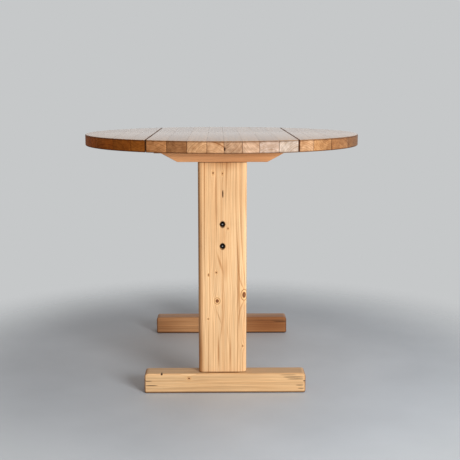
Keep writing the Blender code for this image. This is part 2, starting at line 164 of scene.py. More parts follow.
def new_material(name):
    """(material, its graph, its Principled shader)."""
    material = bpy.data.materials.new(name)
    material.use_nodes = True
    return material, Graph(material.node_tree), material.node_tree.nodes["Principled BSDF"]


def grey(value):
    return (value, value, value, 1.0)


def rgb(red, green, blue):
    """An sRGB colour, 0 to 255, as the linear colour that shaders take."""
    channels = []
    for value in (red, green, blue):
        share = value / 255
        channels.append(share / 12.92 if share <= 0.04045 else ((share + 0.055) / 1.055) ** 2.4)
    return (*channels, 1.0)


def darker(colour, share):
    """The colour times a share, which may also be above 1."""
    return (*(share * channel for channel in colour[:3]), 1.0)


# ---------------------------------------------------------------- wood

# How often each kind of noise repeats in a metre: across the face, through the board and along the grain.
RING_WANDER = (7.0, 7.0, 1.3)
HAIRS = (620.0, 620.0, 14.0)
RESIN_LINES = (330.0, 330.0, 2.6)
BANDS = (120.0, 120.0, 3.0)
CLOUDS = (9.0, 9.0, 3.5)
SMUDGES = (70.0, 70.0, 70.0)

# What each kind of mark multiplies the wood's colour by.
RESIN_TINT = (0.66, 0.5, 0.36, 1.0)
# Streaks and the broad patches of painted shade take the same tint.
STREAK_AND_SHADE_TINT = (0.62, 0.46, 0.32, 1.0)
KNOT_HALO_TINT = (1.12, 1.1, 1.04, 1.0)
# Dirt and painted shade take the same tint.
DIRT_AND_SHADE_TINT = (0.24, 0.16, 0.11, 1.0)
GLUE_TINT = (0.3, 0.2, 0.14, 1.0)
# Rubbed edges, and the post's painted highlight, take this tint.
RUBBED_AND_HIGHLIGHT_TINT = (1.22, 1.24, 1.28, 1.0)

# Splits, and the painted shade in the bolts' counterbores, take this colour.
SPLIT_AND_SHADE_COLOUR = (62, 36, 20)
SPLIT_DEPTH = 3.0
GLUE_DEPTH = 1.5
RUBBED_AND_HIGHLIGHT_WIDTH = 0.011
COAT_ROUGHNESS = 0.16
KNOT_LIFT = 0.9
KNOT_FALLOFF = 0.2


@dataclass
class Wood:
    """One kind of board: the colours of its faces and its end grain, its year rings and its finish.

    Late is what the late wood multiplies the colour by, ring the mean distance between rings in metres,
    contrast and lines how strongly the rings and the resin lines show, relief the height of the bumps in
    metres, wear how bright the rubbed edges are, which on the post is partly a painted highlight, and
    wander how far the rings stray from round, in metres.
    Coat is the gloss of the upper face. With rim the end grain's colour goes all round the board's sides,
    as on a round top."""
    early: tuple
    end: tuple
    late: tuple = (0.62, 0.46, 0.32)
    ring: float = 0.004
    contrast: float = 0.8
    lines: float = 0.5
    roughness: float = 0.5
    specular: float = 0.5
    coat: float = 0.0
    relief: float = 0.0003
    wear_and_highlight: float = 0.5
    wander: float = 0.034
    rim: bool = False


@dataclass
class Mark:
    """A knot, a darker streak, a split or a patch of painted shade: an ellipse on a board's face, which
    fades out at depth below it.

    Across and along are the place of its middle on the face, and slant is how far it leans across in each
    metre along."""
    across: float
    along: float
    half_width: float
    half_length: float
    slant: float = 0.0
    strength: float = 1.0
    depth: float = 0.02


def board_point(g, vector, across, grain):
    """Turns an object vector into (across the face, through the board, along the grain)."""
    through = (set("XYZ") - {across, grain}).pop()
    parts = g.split(vector)
    return g.join(parts[across], parts[through], parts[grain])


def ellipse(g, point, mark, face):
    """Distance from the middle of a mark, where 1 is its outline. Face is the place of the mark's face
    through the board."""
    away = g.vector("SUBTRACT", point, (mark.across, face, mark.along))
    if mark.slant:
        away = g.vector("ADD", away, g.join(g.math("MULTIPLY", g.split(away)["Z"], -mark.slant)))
    shrink = (1 / mark.half_width, 1 / mark.depth, 1 / mark.half_length)
    return g.length(g.vector("MULTIPLY", away, shrink))


def nearest(g, distances):
    found = distances[0]
    for distance in distances[1:]:
        found = g.math("MINIMUM", found, distance)
    return found


def ring_lift(g, distances, knots):
    """How far the year rings are pushed aside round the knots, in metres."""
    total = 0.0
    for distance, knot in zip(distances, knots):
        falloff = g.math("MULTIPLY_ADD", g.math("POWER", distance, 2.0), KNOT_FALLOFF, 1.0)
        total = g.math("ADD", g.math("DIVIDE", knot.half_width * KNOT_LIFT, falloff), total)
    return total


def year_rings(g, point, wood, pith, seed, lift):
    """(late, ring_share): 0 in early wood to 1 in a ring's dark late wood, and a value for each ring."""
    shifted = g.vector("ADD", point, (seed, seed * 1.7, seed * 0.6))
    wander = g.noise(shifted, RING_WANDER, detail=1.5, output="Color")
    reach = (wood.wander, wood.wander, 0.0)
    wander = g.vector("MULTIPLY", g.vector("SUBTRACT", wander, (0.5, 0.5, 0.5)), reach)
    centred = g.vector("MULTIPLY", g.vector("SUBTRACT", point, (*pith, 0.0)), (1.0, 1.0, 0.0))
    radius = g.math("ADD", g.length(g.vector("ADD", centred, wander)), lift)
    phase = g.math("DIVIDE", radius, wood.ring)
    uneven = g.noise(g.join(phase, seed), (0.55, 1.0, 1.0), detail=1.0)
    phase = g.math("MULTIPLY_ADD", uneven, 2.2, phase)
    late = g.ramp(g.math("FRACT", phase), [
        (0.0, grey(0.35)),
        (0.06, grey(0.0)),
        (0.50, grey(0.1)),
        (0.78, grey(0.45)),
        (0.92, grey(1.0)),
        (1.0, grey(0.35)),
    ])
    number = g.math("FLOOR", phase)
    share = g.node("ShaderNodeTexWhiteNoise", {"noise_dimensions": "1D"}, {"W": number})
    return late, share.outputs["Value"]


def edge_share(g, place, box, width):
    """1 on the long edges of a box-shaped board, falling to 0 at width from them."""
    low, high = box
    middle = (low + high) / 2
    half = (high - low) / 2
    outward = g.vector("ABSOLUTE", g.vector("SUBTRACT", place, tuple(middle)))
    parts = g.split(g.vector("SUBTRACT", tuple(half), outward))
    smaller = g.math("MINIMUM", parts["X"], parts["Y"])
    larger = g.math("MAXIMUM", parts["X"], parts["Y"])
    second = g.math("MAXIMUM", smaller, g.math("MINIMUM", larger, parts["Z"]))
    return g.smooth(second, width, 0.0)


def side_share(g, place, box, axis, width):
    """1 on the two faces that look along axis, falling to 0 at width inside them."""
    low, high = (corner["XYZ".index(axis)] for corner in box)
    away = g.math("ABSOLUTE", g.math("SUBTRACT", g.split(place)[axis], (low + high) / 2))
    return g.smooth(away, (high - low) / 2 - width, (high - low) / 2)


def add_knots(g, colour, height, distances):
    """Brown knots, each with a pale ring and a thin dark line round it."""
    distance = nearest(g, distances)
    halo = g.math("MULTIPLY", g.smooth(distance, 2.1, 1.15), 0.6)
    colour = g.tint(halo, colour, KNOT_HALO_TINT)
    heart = g.ramp(distance, [
        (0.0, rgb(150, 96, 54)),
        (0.34, rgb(104, 60, 30)),
        (0.5, rgb(140, 88, 48)),
        (0.62, rgb(232, 184, 128)),
        (0.8, rgb(236, 190, 134)),
        (0.93, rgb(142, 92, 52)),
        (1.0, rgb(190, 140, 92)),
    ])
    colour = g.mix(g.smooth(distance, 1.15, 0.95), colour, heart)
    height = g.math("ADD", height, g.math("MULTIPLY", g.smooth(distance, 0.65, 0.4), 0.8))
    return colour, height


def add_dirt_and_shade(g, colour, place, normal, levels):
    """(colour, clean): dirt and painted shade that gather along edges, at each (axis, level, reach,
    strength).

    It keeps off the faces that look along the axis. Clean is 0 where the dirt and painted shade take the
    gloss away."""
    clean = 1.0
    for axis, level, reach, strength in levels:
        away = g.math("ABSOLUTE", g.math("SUBTRACT", g.split(place)[axis], level))
        turned = g.smooth(g.math("ABSOLUTE", g.split(normal)[axis]), 0.99, 0.85)
        near = g.math("MULTIPLY", g.math("MULTIPLY", g.smooth(away, reach, 0.0), turned), strength)
        colour = g.tint(near, colour, DIRT_AND_SHADE_TINT)
        clean = g.math("MULTIPLY", clean, g.math("SUBTRACT", 1.0, near))
    return colour, clean


def wood_material(
        name, wood, box, across, grain, pith, seed,
        face=0.0, knots=(), streaks_and_shade=(), splits_and_shade=(), dirt_and_shade=(), seam=0.0, planed_sides=()):
    """One board: solid year rings, fibres, knots, streaks, splits, worn edges, glue, gloss, relief, painted
    shade and a painted highlight.

    Face is the place, through the board, of the face that the knots, streaks and splits lie on. The planed
    sides, given by their place across the board, show long grain, unlike the rest of a round top's rim."""
    material, g, shader = new_material(name)
    coordinates = g.node("ShaderNodeTexCoord").outputs
    place = coordinates["Object"]
    point = board_point(g, place, across, grain)
    seeded = g.vector("ADD", point, (seed * 1.3, seed * 2.9, seed * 0.7))
    turned = g.split(board_point(g, g.vector("ABSOLUTE", coordinates["Normal"]), across, grain))
    if wood.rim:
        end_share = g.smooth(turned["Y"], 0.85, 0.5)
    else:
        end_share = g.smooth(turned["Z"], 0.35, 0.9)

    for side in planed_sides:
        away = g.math("ABSOLUTE", g.math("SUBTRACT", g.split(place)[across], side))
        end_share = g.math("MULTIPLY", end_share, g.smooth(away, 0.0001, 0.0003))

    distances = [ellipse(g, point, knot, face) for knot in knots]
    lift = ring_lift(g, distances, knots) if knots else 0.0
    late, ring_share = year_rings(g, point, wood, pith, seed, lift)

    # Fibres: long fine hairs, thin resin lines, broader bands, and slow change over the whole board.
    hairs = g.noise(seeded, HAIRS)
    lines = g.smooth(g.noise(seeded, RESIN_LINES, detail=1.0), 0.6, 0.72)
    bands = g.noise(seeded, BANDS, detail=3.0)
    clouds = g.noise(seeded, CLOUDS)
    smudges = g.noise(seeded, SMUDGES, detail=4.0)
    cloud_shade = g.ramp(clouds, [(0.3, (0.9, 0.83, 0.76, 1.0)), (0.7, (1.07, 1.09, 1.12, 1.0))])
    smudge_shade = g.ramp(smudges, [(0.3, (0.74, 0.66, 0.58, 1.0)), (0.7, grey(1.16))])
    contrast = g.math("MULTIPLY_ADD", ring_share, wood.contrast * 0.7, wood.contrast * 0.3)
    contrast = g.math("MULTIPLY", contrast, g.math("MULTIPLY_ADD", end_share, 1.1, 1.0))

    colour = g.mix(end_share, wood.early, wood.end)
    colour = g.tint(g.math("MULTIPLY", late, contrast, clamp=True), colour, (*wood.late, 1.0))
    colour = g.tint(g.math("MULTIPLY", lines, wood.lines), colour, RESIN_TINT)
    colour = g.tint(1.0, colour, g.ramp(bands, [(0.3, grey(0.86)), (0.7, grey(1.12))]))
    colour = g.tint(0.8, colour, g.ramp(hairs, [(0.3, grey(0.84)), (0.7, grey(1.12))]))
    colour = g.tint(0.8, colour, cloud_shade)
    colour = g.tint(end_share, colour, smudge_shade)

    height = g.math("MULTIPLY_ADD", late, -0.3, g.math("MULTIPLY", hairs, 0.4))
    # Darker streaks, and broad patches of painted shade laid on the same way.
    for streak_and_shade in streaks_and_shade:
        inside = g.smooth(ellipse(g, point, streak_and_shade, face), 1.0, 0.0)
        colour = g.tint(g.math("MULTIPLY", inside, streak_and_shade.strength), colour, STREAK_AND_SHADE_TINT)
    if knots:
        colour, height = add_knots(g, colour, height, distances)
    # Dark splits, and the painted shade in the counterbores, which is laid on with them.
    if splits_and_shade:
        inside = g.smooth(nearest(g, [ellipse(g, point, split, face) for split in splits_and_shade]), 1.0, 0.6)
        colour = g.mix(inside, colour, rgb(*SPLIT_AND_SHADE_COLOUR))
        height = g.math("MULTIPLY_ADD", inside, -SPLIT_DEPTH, height)
    # Dirt, and painted shade along edges and joints.
    colour, clean = add_dirt_and_shade(g, colour, place, coordinates["Normal"], dirt_and_shade)

    # Rubbed edges, which on the post are partly a painted highlight, and a dark line of glue and dirt where
    # boards meet, which shows most on the end grain.
    worn_and_highlight = g.math("MULTIPLY", edge_share(g, place, box, RUBBED_AND_HIGHLIGHT_WIDTH), g.smooth(clouds, 0.3, 0.6))
    worn_and_highlight = g.math("MULTIPLY", worn_and_highlight, wood.wear_and_highlight)
    colour = g.tint(worn_and_highlight, colour, RUBBED_AND_HIGHLIGHT_TINT)
    if seam:
        glue = side_share(g, place, box, across, seam)
        glue = g.math("MULTIPLY", glue, g.math("MULTIPLY_ADD", end_share, 0.78, 0.12))
        colour = g.tint(glue, colour, GLUE_TINT)
        height = g.math("MULTIPLY_ADD", glue, -GLUE_DEPTH, height)

    g.feed(shader.inputs["Base Color"], colour)
    rough = g.math("MULTIPLY_ADD", hairs, 0.16, wood.roughness - 0.08)
    g.feed(shader.inputs["Roughness"], g.math("MULTIPLY_ADD", worn_and_highlight, 0.1, rough))
    shader.inputs["Specular IOR Level"].default_value = wood.specular
    if wood.coat:
        upper = g.smooth(g.split(coordinates["Normal"])["Z"], 0.5, 0.97)
        gloss = g.math("MULTIPLY", g.math("MULTIPLY", upper, clean), wood.coat)
        g.feed(shader.inputs["Coat Weight"], gloss)
        shader.inputs["Coat Roughness"].default_value = COAT_ROUGHNESS
    bump = g.node("ShaderNodeBump", inputs={"Distance": wood.relief, "Height": height})
    g.feed(shader.inputs["Normal"], bump.outputs[0])
    return material


# ---------------------------------------------------------------- metal

BLOTCHES = (160.0, 160.0, 160.0)
SCRATCHES = (1500.0, 120.0, 600.0)
METAL_RELIEF = 0.00005
SCRATCH_COLOUR = 0.55
# The crown's spot: rubbed metal, and partly a painted highlight.
CROWN_COLOUR = 0.75


def metal_material(name, colour, grime, roughness, crown=None):
    """Plated or blackened steel: blotches, fine scratches, grime, and a bright spot at its crown, which is
    rubbed metal and partly a painted highlight.

    Crown is (middle, radius) of that spot."""
    material, g, shader = new_material(name)
    place = g.node("ShaderNodeTexCoord").outputs["Object"]
    blotches = g.noise(place, BLOTCHES, detail=4.0)
    scratches = g.noise(place, SCRATCHES, detail=3.0)
    shade = g.mix(g.smooth(blotches, 0.35, 0.7), colour, grime)
    scratched = g.math("MULTIPLY", g.smooth(scratches, 0.56, 0.75), 0.3)
    shade = g.mix(scratched, shade, grey(SCRATCH_COLOUR))
    # A bright spot at the crown, partly a painted highlight.
    if crown:
        middle, radius = crown
        away = g.length(g.vector("SUBTRACT", place, tuple(middle)))
        shade = g.mix(g.smooth(away, radius, radius * 0.4), shade, grey(CROWN_COLOUR))
    g.feed(shader.inputs["Base Color"], shade)
    g.feed(shader.inputs["Roughness"], g.math("MULTIPLY_ADD", blotches, 0.3, roughness - 0.15))
    shader.inputs["Metallic"].default_value = 1.0
    relief = g.math("ADD", blotches, g.math("MULTIPLY", scratches, 0.5))
    bump = g.node("ShaderNodeBump", inputs={"Distance": METAL_RELIEF, "Height": relief})
    g.feed(shader.inputs["Normal"], bump.outputs[0])
    return material


# ---------------------------------------------------------------- meshes

def finish_mesh(name, bm, body, stands_for=()):
    """Turns a bmesh into a smooth-shaded piece that rides on a body."""
    bmesh.ops.remove_doubles(bm, verts=bm.verts, dist=MERGE)
    bmesh.ops.recalc_face_normals(bm, faces=bm.faces)
    mesh = bpy.data.meshes.new(name)
    bm.to_mesh(mesh)
    bm.free()
    mesh.shade_smooth()
    mesh.set_sharp_from_angle(angle=SHARP_ANGLE)
    piece = bpy.data.objects.new(name, mesh)
    bpy.context.scene.collection.objects.link(piece)
    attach(piece, body)
    if stands_for:
        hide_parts(*stands_for)
    return piece


def body_and_slot(node):
    """The CAD body a node belongs to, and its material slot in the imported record."""
    return nodes[node]["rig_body"], nodes[node].material_slots[0].material.name


def set_material(piece, material):
    piece.data.materials.clear()
    piece.data.materials.append(material)


TOP_RADIUS = (cad_high.x - cad_low.x) / 2
RIM_ROUND = 0.003
ROUND_STEPS = 4
ARC_STEPS = 12


def rim_levels(low, high):
    """(height, inset) down the rim's rounded profile, from the top face to the underside."""
    levels = []
    for centre, first in ((high - RIM_ROUND, 90), (low + RIM_ROUND, 0)):
        for step in range(ROUND_STEPS + 1):
            angle = math.radians(first - 90 * step / ROUND_STEPS)
            levels.append((centre + RIM_ROUND * math.sin(angle), RIM_ROUND * (1 - math.cos(angle))))
    return levels


def plank_outline(near, far, radius):
    """(x, y) points along one end of a plank of the round top, from its near side to its far side.

    Near and far are distances from the middle of the top. The far side may be the top's own edge: the two
    ends of the plank meet there, and the points gather towards it."""
    outline = []
    reach = min(far, radius)
    for step in range(ARC_STEPS + 1):
        share = step / ARC_STEPS
        if far >= radius:
            share = math.sin(math.pi / 2 * share)
        x = near + (reach - near) * share
        outline.append((x, math.sqrt(max(radius * radius - x * x, 0.0))))
    return outline


def plank(node):
    """A board of the round top with a truly round rim, in the place of its faceted CAD solid."""
    low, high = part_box(node)
    reaches_edge = max(abs(low.x), abs(high.x)) > TOP_RADIUS - MERGE * 10
    sign = -1 if (low.x + high.x) < 0 else 1
    near, far = sorted((sign * low.x, sign * high.x))
    if reaches_edge:
        far = TOP_RADIUS
    bm = bmesh.new()
    rings = []
    for height, inset in rim_levels(low.z, high.z):
        outline = plank_outline(near, far, TOP_RADIUS - inset)
        front = [bm.verts.new((sign * x, -y, height)) for x, y in outline]
        rear = [bm.verts.new((sign * x, y, height)) for x, y in reversed(outline)]
        rings.append(front + rear)
    for upper, lower in zip(rings, rings[1:]):
        for step in range(len(upper)):
            following = (step + 1) % len(upper)
            bm.faces.new((upper[step], upper[following], lower[following], lower[step]))
    for ring in (rings[0], rings[-1]):
        for step in range(ARC_STEPS):
            bm.faces.new((ring[step], ring[step + 1], ring[-step - 2], ring[-step - 1]))
    bmesh.ops.remove_doubles(bm, verts=bm.verts, dist=MERGE)
    bmesh.ops.dissolve_degenerate(bm, edges=bm.edges, dist=MERGE)
    body, slot = body_and_slot(node)
    return finish_mesh(node + "_board", bm, body, [node])


WORN_REACH = 0.01
WORN_STEP = 0.012
DEEP_WEAR = 0.0005
LIGHT_WEAR = 0.0002
BROAD_DENTS = 45
FINE_DENTS = 160


def worn_board(node, grain, amplitude=DEEP_WEAR):
    """A copy of a CAD board whose rounded edges are gently uneven, as years of use leave them.

    Flat faces stay flat and the rest only moves inwards, so the board keeps its size and its joints."""
    bm = bmesh.new()
    bm.from_mesh(nodes[node].data)
    bmesh.ops.remove_doubles(bm, verts=bm.verts, dist=MERGE)
    bmesh.ops.dissolve_limit(bm, angle_limit=math.radians(0.5), verts=bm.verts, edges=bm.edges)
    box_low, box_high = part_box(node)
    middle, half = (box_low + box_high) / 2, (box_high - box_low) / 2
    low, high = (corner["XYZ".index(grain)] for corner in (box_low, box_high))
    direction = Vector([float(axis == grain) for axis in "XYZ"])
    count = int((high - low) / WORN_STEP)
    for index in range(1, count):
        cut = direction * (low + (high - low) * index / count)
        everything = bm.verts[:] + bm.edges[:] + bm.faces[:]
        bmesh.ops.bisect_plane(bm, geom=everything, dist=MERGE, plane_co=cut, plane_no=direction)
    bm.normal_update()
    for vert in bm.verts:
        inward = sorted(h - abs(c) for h, c in zip(half, vert.co - middle))
        if inward[1] > WORN_REACH:
            continue
        turned = 1 - max(abs(part) for part in vert.normal)
        dent = max(0.0, noise.noise(vert.co * BROAD_DENTS) + 0.35)
        dent += 0.5 * max(0.0, noise.noise(vert.co * FINE_DENTS))
        vert.co -= vert.normal * (amplitude * dent * min(1.0, turned * 5))
    body, slot = body_and_slot(node)
    piece = finish_mesh(node + "_board", bm, body, [node])
    piece.modifiers.new("flat_faces_stay_flat", "WEIGHTED_NORMAL").keep_sharp = True
    return piece


def smoothing_group():
    """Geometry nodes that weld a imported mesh's split corners and crease only its real edges."""
    tree = bpy.data.node_groups.new("weld_and_crease", "GeometryNodeTree")
    for in_out in ("INPUT", "OUTPUT"):
        tree.interface.new_socket("Geometry", in_out=in_out, socket_type="NodeSocketGeometry")
    link = tree.links.new
    new = tree.nodes.new
    weld = new("GeometryNodeMergeByDistance")
    weld.inputs["Distance"].default_value = MERGE
    plain = new("GeometryNodeSetMeshNormal")
    plain.mode = "SHARPNESS"
    plain.inputs["Remove Custom"].default_value = True
    sharper = new("FunctionNodeCompare")
    sharper.inputs["B"].default_value = SHARP_ANGLE
    link(new("GeometryNodeInputMeshEdgeAngle").outputs["Unsigned Angle"], sharper.inputs["A"])
    link(sharper.outputs[0], plain.inputs["Edge Sharpness"])
    link(new("NodeGroupInput").outputs[0], weld.inputs["Geometry"])
    link(weld.outputs["Geometry"], plain.inputs["Mesh"])
    link(plain.outputs["Mesh"], new("NodeGroupOutput").inputs[0])
    return tree


SMOOTHING = smoothing_group()


def dress(node, material):
    """Gives a CAD node that stays as it is its material, and shades its round faces smooth."""
    piece = nodes[node]
    piece.material_slots[0].material = material
    piece.modifiers.new("weld_and_crease", "NODES").node_group = SMOOTHING
    return piece


# ---------------------------------------------------------------- the boards

FACE = rgb(216, 164, 108)
TOP = Wood(
    FACE, FACE,
    ring=0.005, contrast=0.6, lines=0.3, roughness=0.45, specular=0.2, coat=1.0, wear_and_highlight=0.3, rim=True)
BASE = Wood(
    rgb(234, 195, 148), rgb(200, 145, 92), (0.66, 0.5, 0.36),
    ring=0.0042, contrast=1.1, lines=1.0, roughness=0.48, wear_and_highlight=0.6, wander=0.018)
# The post's rubbed edges are brighter, partly as a painted highlight along its arrises.
POST = replace(BASE, wear_and_highlight=1.5)
FOOT = replace(BASE, early=rgb(214, 176, 130), contrast=0.6, lines=0.5, wear_and_highlight=1.0, wander=0.024)
# The rear foot is darker than the front one, partly in its wood and partly as painted shade.
REAR_FOOT = replace(FOOT, early=rgb(186, 139, 95), contrast=1.0, wear_and_highlight=0.3)
BEARER = Wood(rgb(212, 156, 108), rgb(190, 130, 82), ring=0.0042, contrast=0.5, wear_and_highlight=0.25)
PLAIN = Wood(rgb(214, 172, 124), rgb(190, 144, 98), ring=0.0045, contrast=0.5, roughness=0.6, wear_and_highlight=0.2)
BEECH = Wood(
    rgb(206, 160, 118), rgb(180, 134, 94), (0.84, 0.76, 0.66),
    ring=0.003, contrast=0.35, wear_and_highlight=0.3)

# Each board of the top, from the left in the centre section and outwards in a leaf: the colour of its end
# grain, its face's share of the common colour, and where its tree's middle lies from its own middle.
CENTRE_BOARDS = (
    (rgb(200, 146, 98), 1.00, (-0.010, -0.045)),
    (rgb(160, 116, 78), 0.89, (0.020, 0.030)),
    (rgb(210, 170, 130), 1.05, (0.025, -0.030)),
    (rgb(206, 166, 128), 0.97, (-0.020, -0.050)),
    (rgb(178, 146, 118), 0.91, (-0.030, 0.035)),
    (rgb(200, 170, 145), 1.06, (0.050, 0.045)),
    (rgb(196, 178, 166), 0.94, (0.000, -0.040)),
    (rgb(188, 174, 162), 1.03, (0.030, -0.035)),
)
# The left leaf's end grain is darker than the centre's, partly as painted shade.
LEFT_BOARDS = (
    (rgb(162, 98, 38), 0.93, (0.020, 0.040)),
    (rgb(168, 100, 38), 1.00, (-0.030, -0.030)),
    (rgb(186, 108, 40), 0.96, (0.010, -0.050)),
    (rgb(200, 114, 42), 1.04, (-0.020, 0.045)),
)
# The right leaf's end grain grows darker outwards, partly as painted shade.
RIGHT_BOARDS = (
    (rgb(204, 166, 130), 0.98, (-0.020, -0.040)),
    (rgb(186, 142, 98), 1.04, (0.030, 0.030)),
    (rgb(170, 124, 82), 0.92, (-0.010, -0.045)),
    (rgb(146, 104, 66), 1.00, (0.020, 0.040)),
)
TOP_BOARDS = {"centre": CENTRE_BOARDS, "left_leaf": LEFT_BOARDS, "right_leaf": RIGHT_BOARDS}

# How far the glue line reaches from each board's joints, the painted shade beside the open seams and
# along the rim's lower edge, and the dark line along the rim's upper edge, which lies a little below it.
GLUE_REACH = {"centre": 0.0012, "left_leaf": 0.0006, "right_leaf": 0.0012}
SEAM_SHADE_REACH = 0.003
UNDER_SHADE_REACH = 0.005
UPPER_LINE_REACH = 0.0035
UPPER_LINE_DROP = 0.002
UPPER_LINE_STRENGTH = 0.7

FIRST_SEED = 1.0
SEED_STEP = 1.37

LENS_BOARD = "centre_plank_5"
RIM_LENS = Mark(0.0019, 0.0, 0.0021, 0.0200, depth=0.0066)
LENS_HEIGHT_SHARE = 0.38


def rim_lens(low, high):
    """A dark lens of bark on the front rim, beside the left joint of its board, and its height."""
    front_y = -math.sqrt(TOP_RADIUS ** 2 - low.x ** 2)
    lens = replace(RIM_LENS, across=low.x + RIM_LENS.across, along=front_y)
    return (lens,), low.z + LENS_HEIGHT_SHARE * (high.z - low.z)


def make_top():
    seed = FIRST_SEED
    leaf_seams = [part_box("centre_plank_1")[0].x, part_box("centre_plank_8")[1].x]
    leaf_seams += [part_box("left_leaf_plank_1")[1].x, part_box("right_leaf_plank_1")[0].x]
    for prefix, boards in TOP_BOARDS.items():
        for number, (end_colour, share, (across, through)) in enumerate(boards, 1):
            node = f"{prefix}_plank_{number}"
            low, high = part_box(node)
            middle = (low + high) / 2
            pith = (middle.x + across, middle.z + through)
            piece = plank(node)
            wood = replace(TOP, early=darker(FACE, share), end=end_colour)
            splits_and_shade, face = rim_lens(low, high) if node == LENS_BOARD else ((), 0.0)
            planed = [level for level in leaf_seams if low.x - MERGE < level < high.x + MERGE]
            # Painted shade along the rim's lower edge and beside the open seams, and a dark line below its
            # upper edge.
            dirt_and_shade = [("Z", low.z, UNDER_SHADE_REACH, 1.0)]
            dirt_and_shade += [("Z", high.z - UPPER_LINE_DROP, UPPER_LINE_REACH, UPPER_LINE_STRENGTH)]
            dirt_and_shade += [("X", level, SEAM_SHADE_REACH, 1.0) for level in planed]
            material = wood_material(
                node, wood, (low, high), "X", "Y", pith, seed, face,
                splits_and_shade=splits_and_shade, dirt_and_shade=dirt_and_shade, seam=GLUE_REACH[prefix], planed_sides=planed)
            set_material(piece, material)
            seed += SEED_STEP


# The marks of the front post and of the feet. Nearly all places of the post's knots, and some of the
# others, are as a helper program printed them, good to about 1.5 mm. The rest were set one by one, some of
# them from the same measurements. The last three streaks of the post are broad patches of painted shade: a
# painted shadow under the bearer, and painted shade along the left edge, which is wider near the foot.
POST_KNOTS = (
    Mark(-0.0152, 0.2719, 0.0088, 0.0098),
    Mark(0.0622, 0.2894, 0.0100, 0.0165),
    Mark(-0.0261, 0.6402, 0.0036, 0.0062),
    Mark(0.0005, 0.6387, 0.0034, 0.0056),
    Mark(0.0577, 0.1377, 0.0032, 0.0040),
    Mark(-0.0399, 0.3483, 0.0030, 0.0052),
    Mark(-0.0412, 0.2187, 0.0036, 0.0030),
    Mark(0.0158, 0.4827, 0.0028, 0.0050),
    Mark(-0.0176, 0.3555, 0.0036, 0.0048),
)
POST_STREAKS_AND_SHADE = (
    Mark(-0.0172, 0.5500, 0.0050, 0.1700, strength=0.7),
    Mark(-0.0070, 0.3830, 0.0048, 0.0460, slant=-0.30, strength=0.85),
    Mark(0.0012, 0.2700, 0.0055, 0.1100, strength=0.5),
    Mark(-0.0030, 0.1900, 0.0022, 0.0560, slant=0.12, strength=0.7),
    Mark(0.0150, 0.1750, 0.0020, 0.0500, slant=-0.08, strength=0.7),
    Mark(0.0080, 0.3650, 0.0120, 0.0500, strength=0.4),
    Mark(-0.0103, 0.2240, 0.0030, 0.0320, slant=-0.33, strength=0.8),
    Mark(0.0045, 0.4640, 0.0040, 0.0520, strength=0.5),
    Mark(0.0103, 0.6300, 0.0040, 0.0700, strength=0.5),
    Mark(-0.0118, 0.1200, 0.0036, 0.0800, strength=1.2),
    Mark(0.0218, 0.1200, 0.0030, 0.0800, strength=1.0),
    # Painted shade: a painted shadow under the bearer, and shade down the left edge, wider near the foot.
    Mark(0.0000, 0.6900, 0.1000, 0.0560, strength=1.3),
    Mark(-0.0690, 0.3600, 0.0165, 0.5000, strength=1.1),
    Mark(-0.0690, 0.0900, 0.0200, 0.1700, strength=1.4),
)
POST_SPLITS = (Mark(0.0010, 0.5810, 0.0020, 0.0135),)
FOOT_KNOTS = (Mark(0.0450, -0.0974, 0.0050, 0.0060),)
FOOT_SPLITS = (
    Mark(0.0570, -0.1768, 0.0034, 0.0034),
    Mark(0.0236, -0.2070, 0.0012, 0.0220),
    Mark(0.0370, -0.2160, 0.0011, 0.0130),
    Mark(0.0476, 0.2050, 0.0013, 0.0350),
    Mark(0.0418, 0.2120, 0.0012, 0.0300),
    Mark(0.0540, 0.1900, 0.0009, 0.0300),
    Mark(0.0358, 0.2380, 0.0020, 0.0060),
    Mark(0.0230, 0.2240, 0.0010, 0.0140),
    Mark(0.0133, 0.2280, 0.0010, 0.0120),
)
# The first two are broad patches of painted shade over the rear foot's right half and its left end.
REAR_FOOT_STREAKS_AND_SHADE = (
    Mark(0.0300, 0.1700, 0.1200, 0.2600, strength=1.0, depth=0.045),
    Mark(0.0300, -0.2200, 0.0600, 0.1200, strength=0.5, depth=0.045),
    Mark(0.0470, 0.1500, 0.0025, 0.0900, strength=0.9),
    Mark(0.0380, 0.1700, 0.0016, 0.0700, strength=0.8),
    Mark(0.0440, -0.1600, 0.0016, 0.0800, strength=0.7),
)
# Half width and half length of the painted shade in each counterbore.
COUNTERBORE_HALF = (0.0094, 0.0124)

# What the rear boards take over from the front ones, and how far along.
REAR_POST_KNOTS = POST_KNOTS[:6]
REAR_POST_STREAKS = POST_STREAKS_AND_SHADE[:6]
REAR_FOOT_SPLITS = FOOT_SPLITS[3:5]
REAR_KNOT_SHIFT = -0.09
REAR_STREAK_SHIFT = 0.05

# Where each board's tree had its middle, from the board's own middle.
POST_PITH = (0.08, 0.05)
FOOT_PITH = (0.03, 0.06)
BEARER_PITH = 0.07
SMALL_BOARD_PITH = (0.02, 0.05)

# Painted shade where the post meets the foot and the bearer.
JOINT_SHADE_REACH = 0.004
# Dirt and painted contact shadow along the feet's bottoms.
FLOOR_DIRT_AND_SHADE_REACH = 0.008
# The feet's darker ends: partly their end grain, partly painted shade.
FOOT_END_GRAIN_AND_SHADE_REACH = 0.005
FOOT_END_GRAIN_AND_SHADE_STRENGTH = 0.8


def mirrored(marks, shift=0.0):
    """The same marks on the other side of the board, and further along it."""
    return tuple(
        replace(mark, across=-mark.across, along=mark.along + shift, slant=-mark.slant)
        for mark in marks)


def counterbore_marks(end):
    """Painted shade in the counterbores round the two bolts of one post."""
    middles = [sum(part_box(f"{end}_bolt_{level}"), Vector()) / 2 for level in ("upper", "lower")]
    return tuple(Mark(middle.x, middle.z, *COUNTERBORE_HALF) for middle in middles)


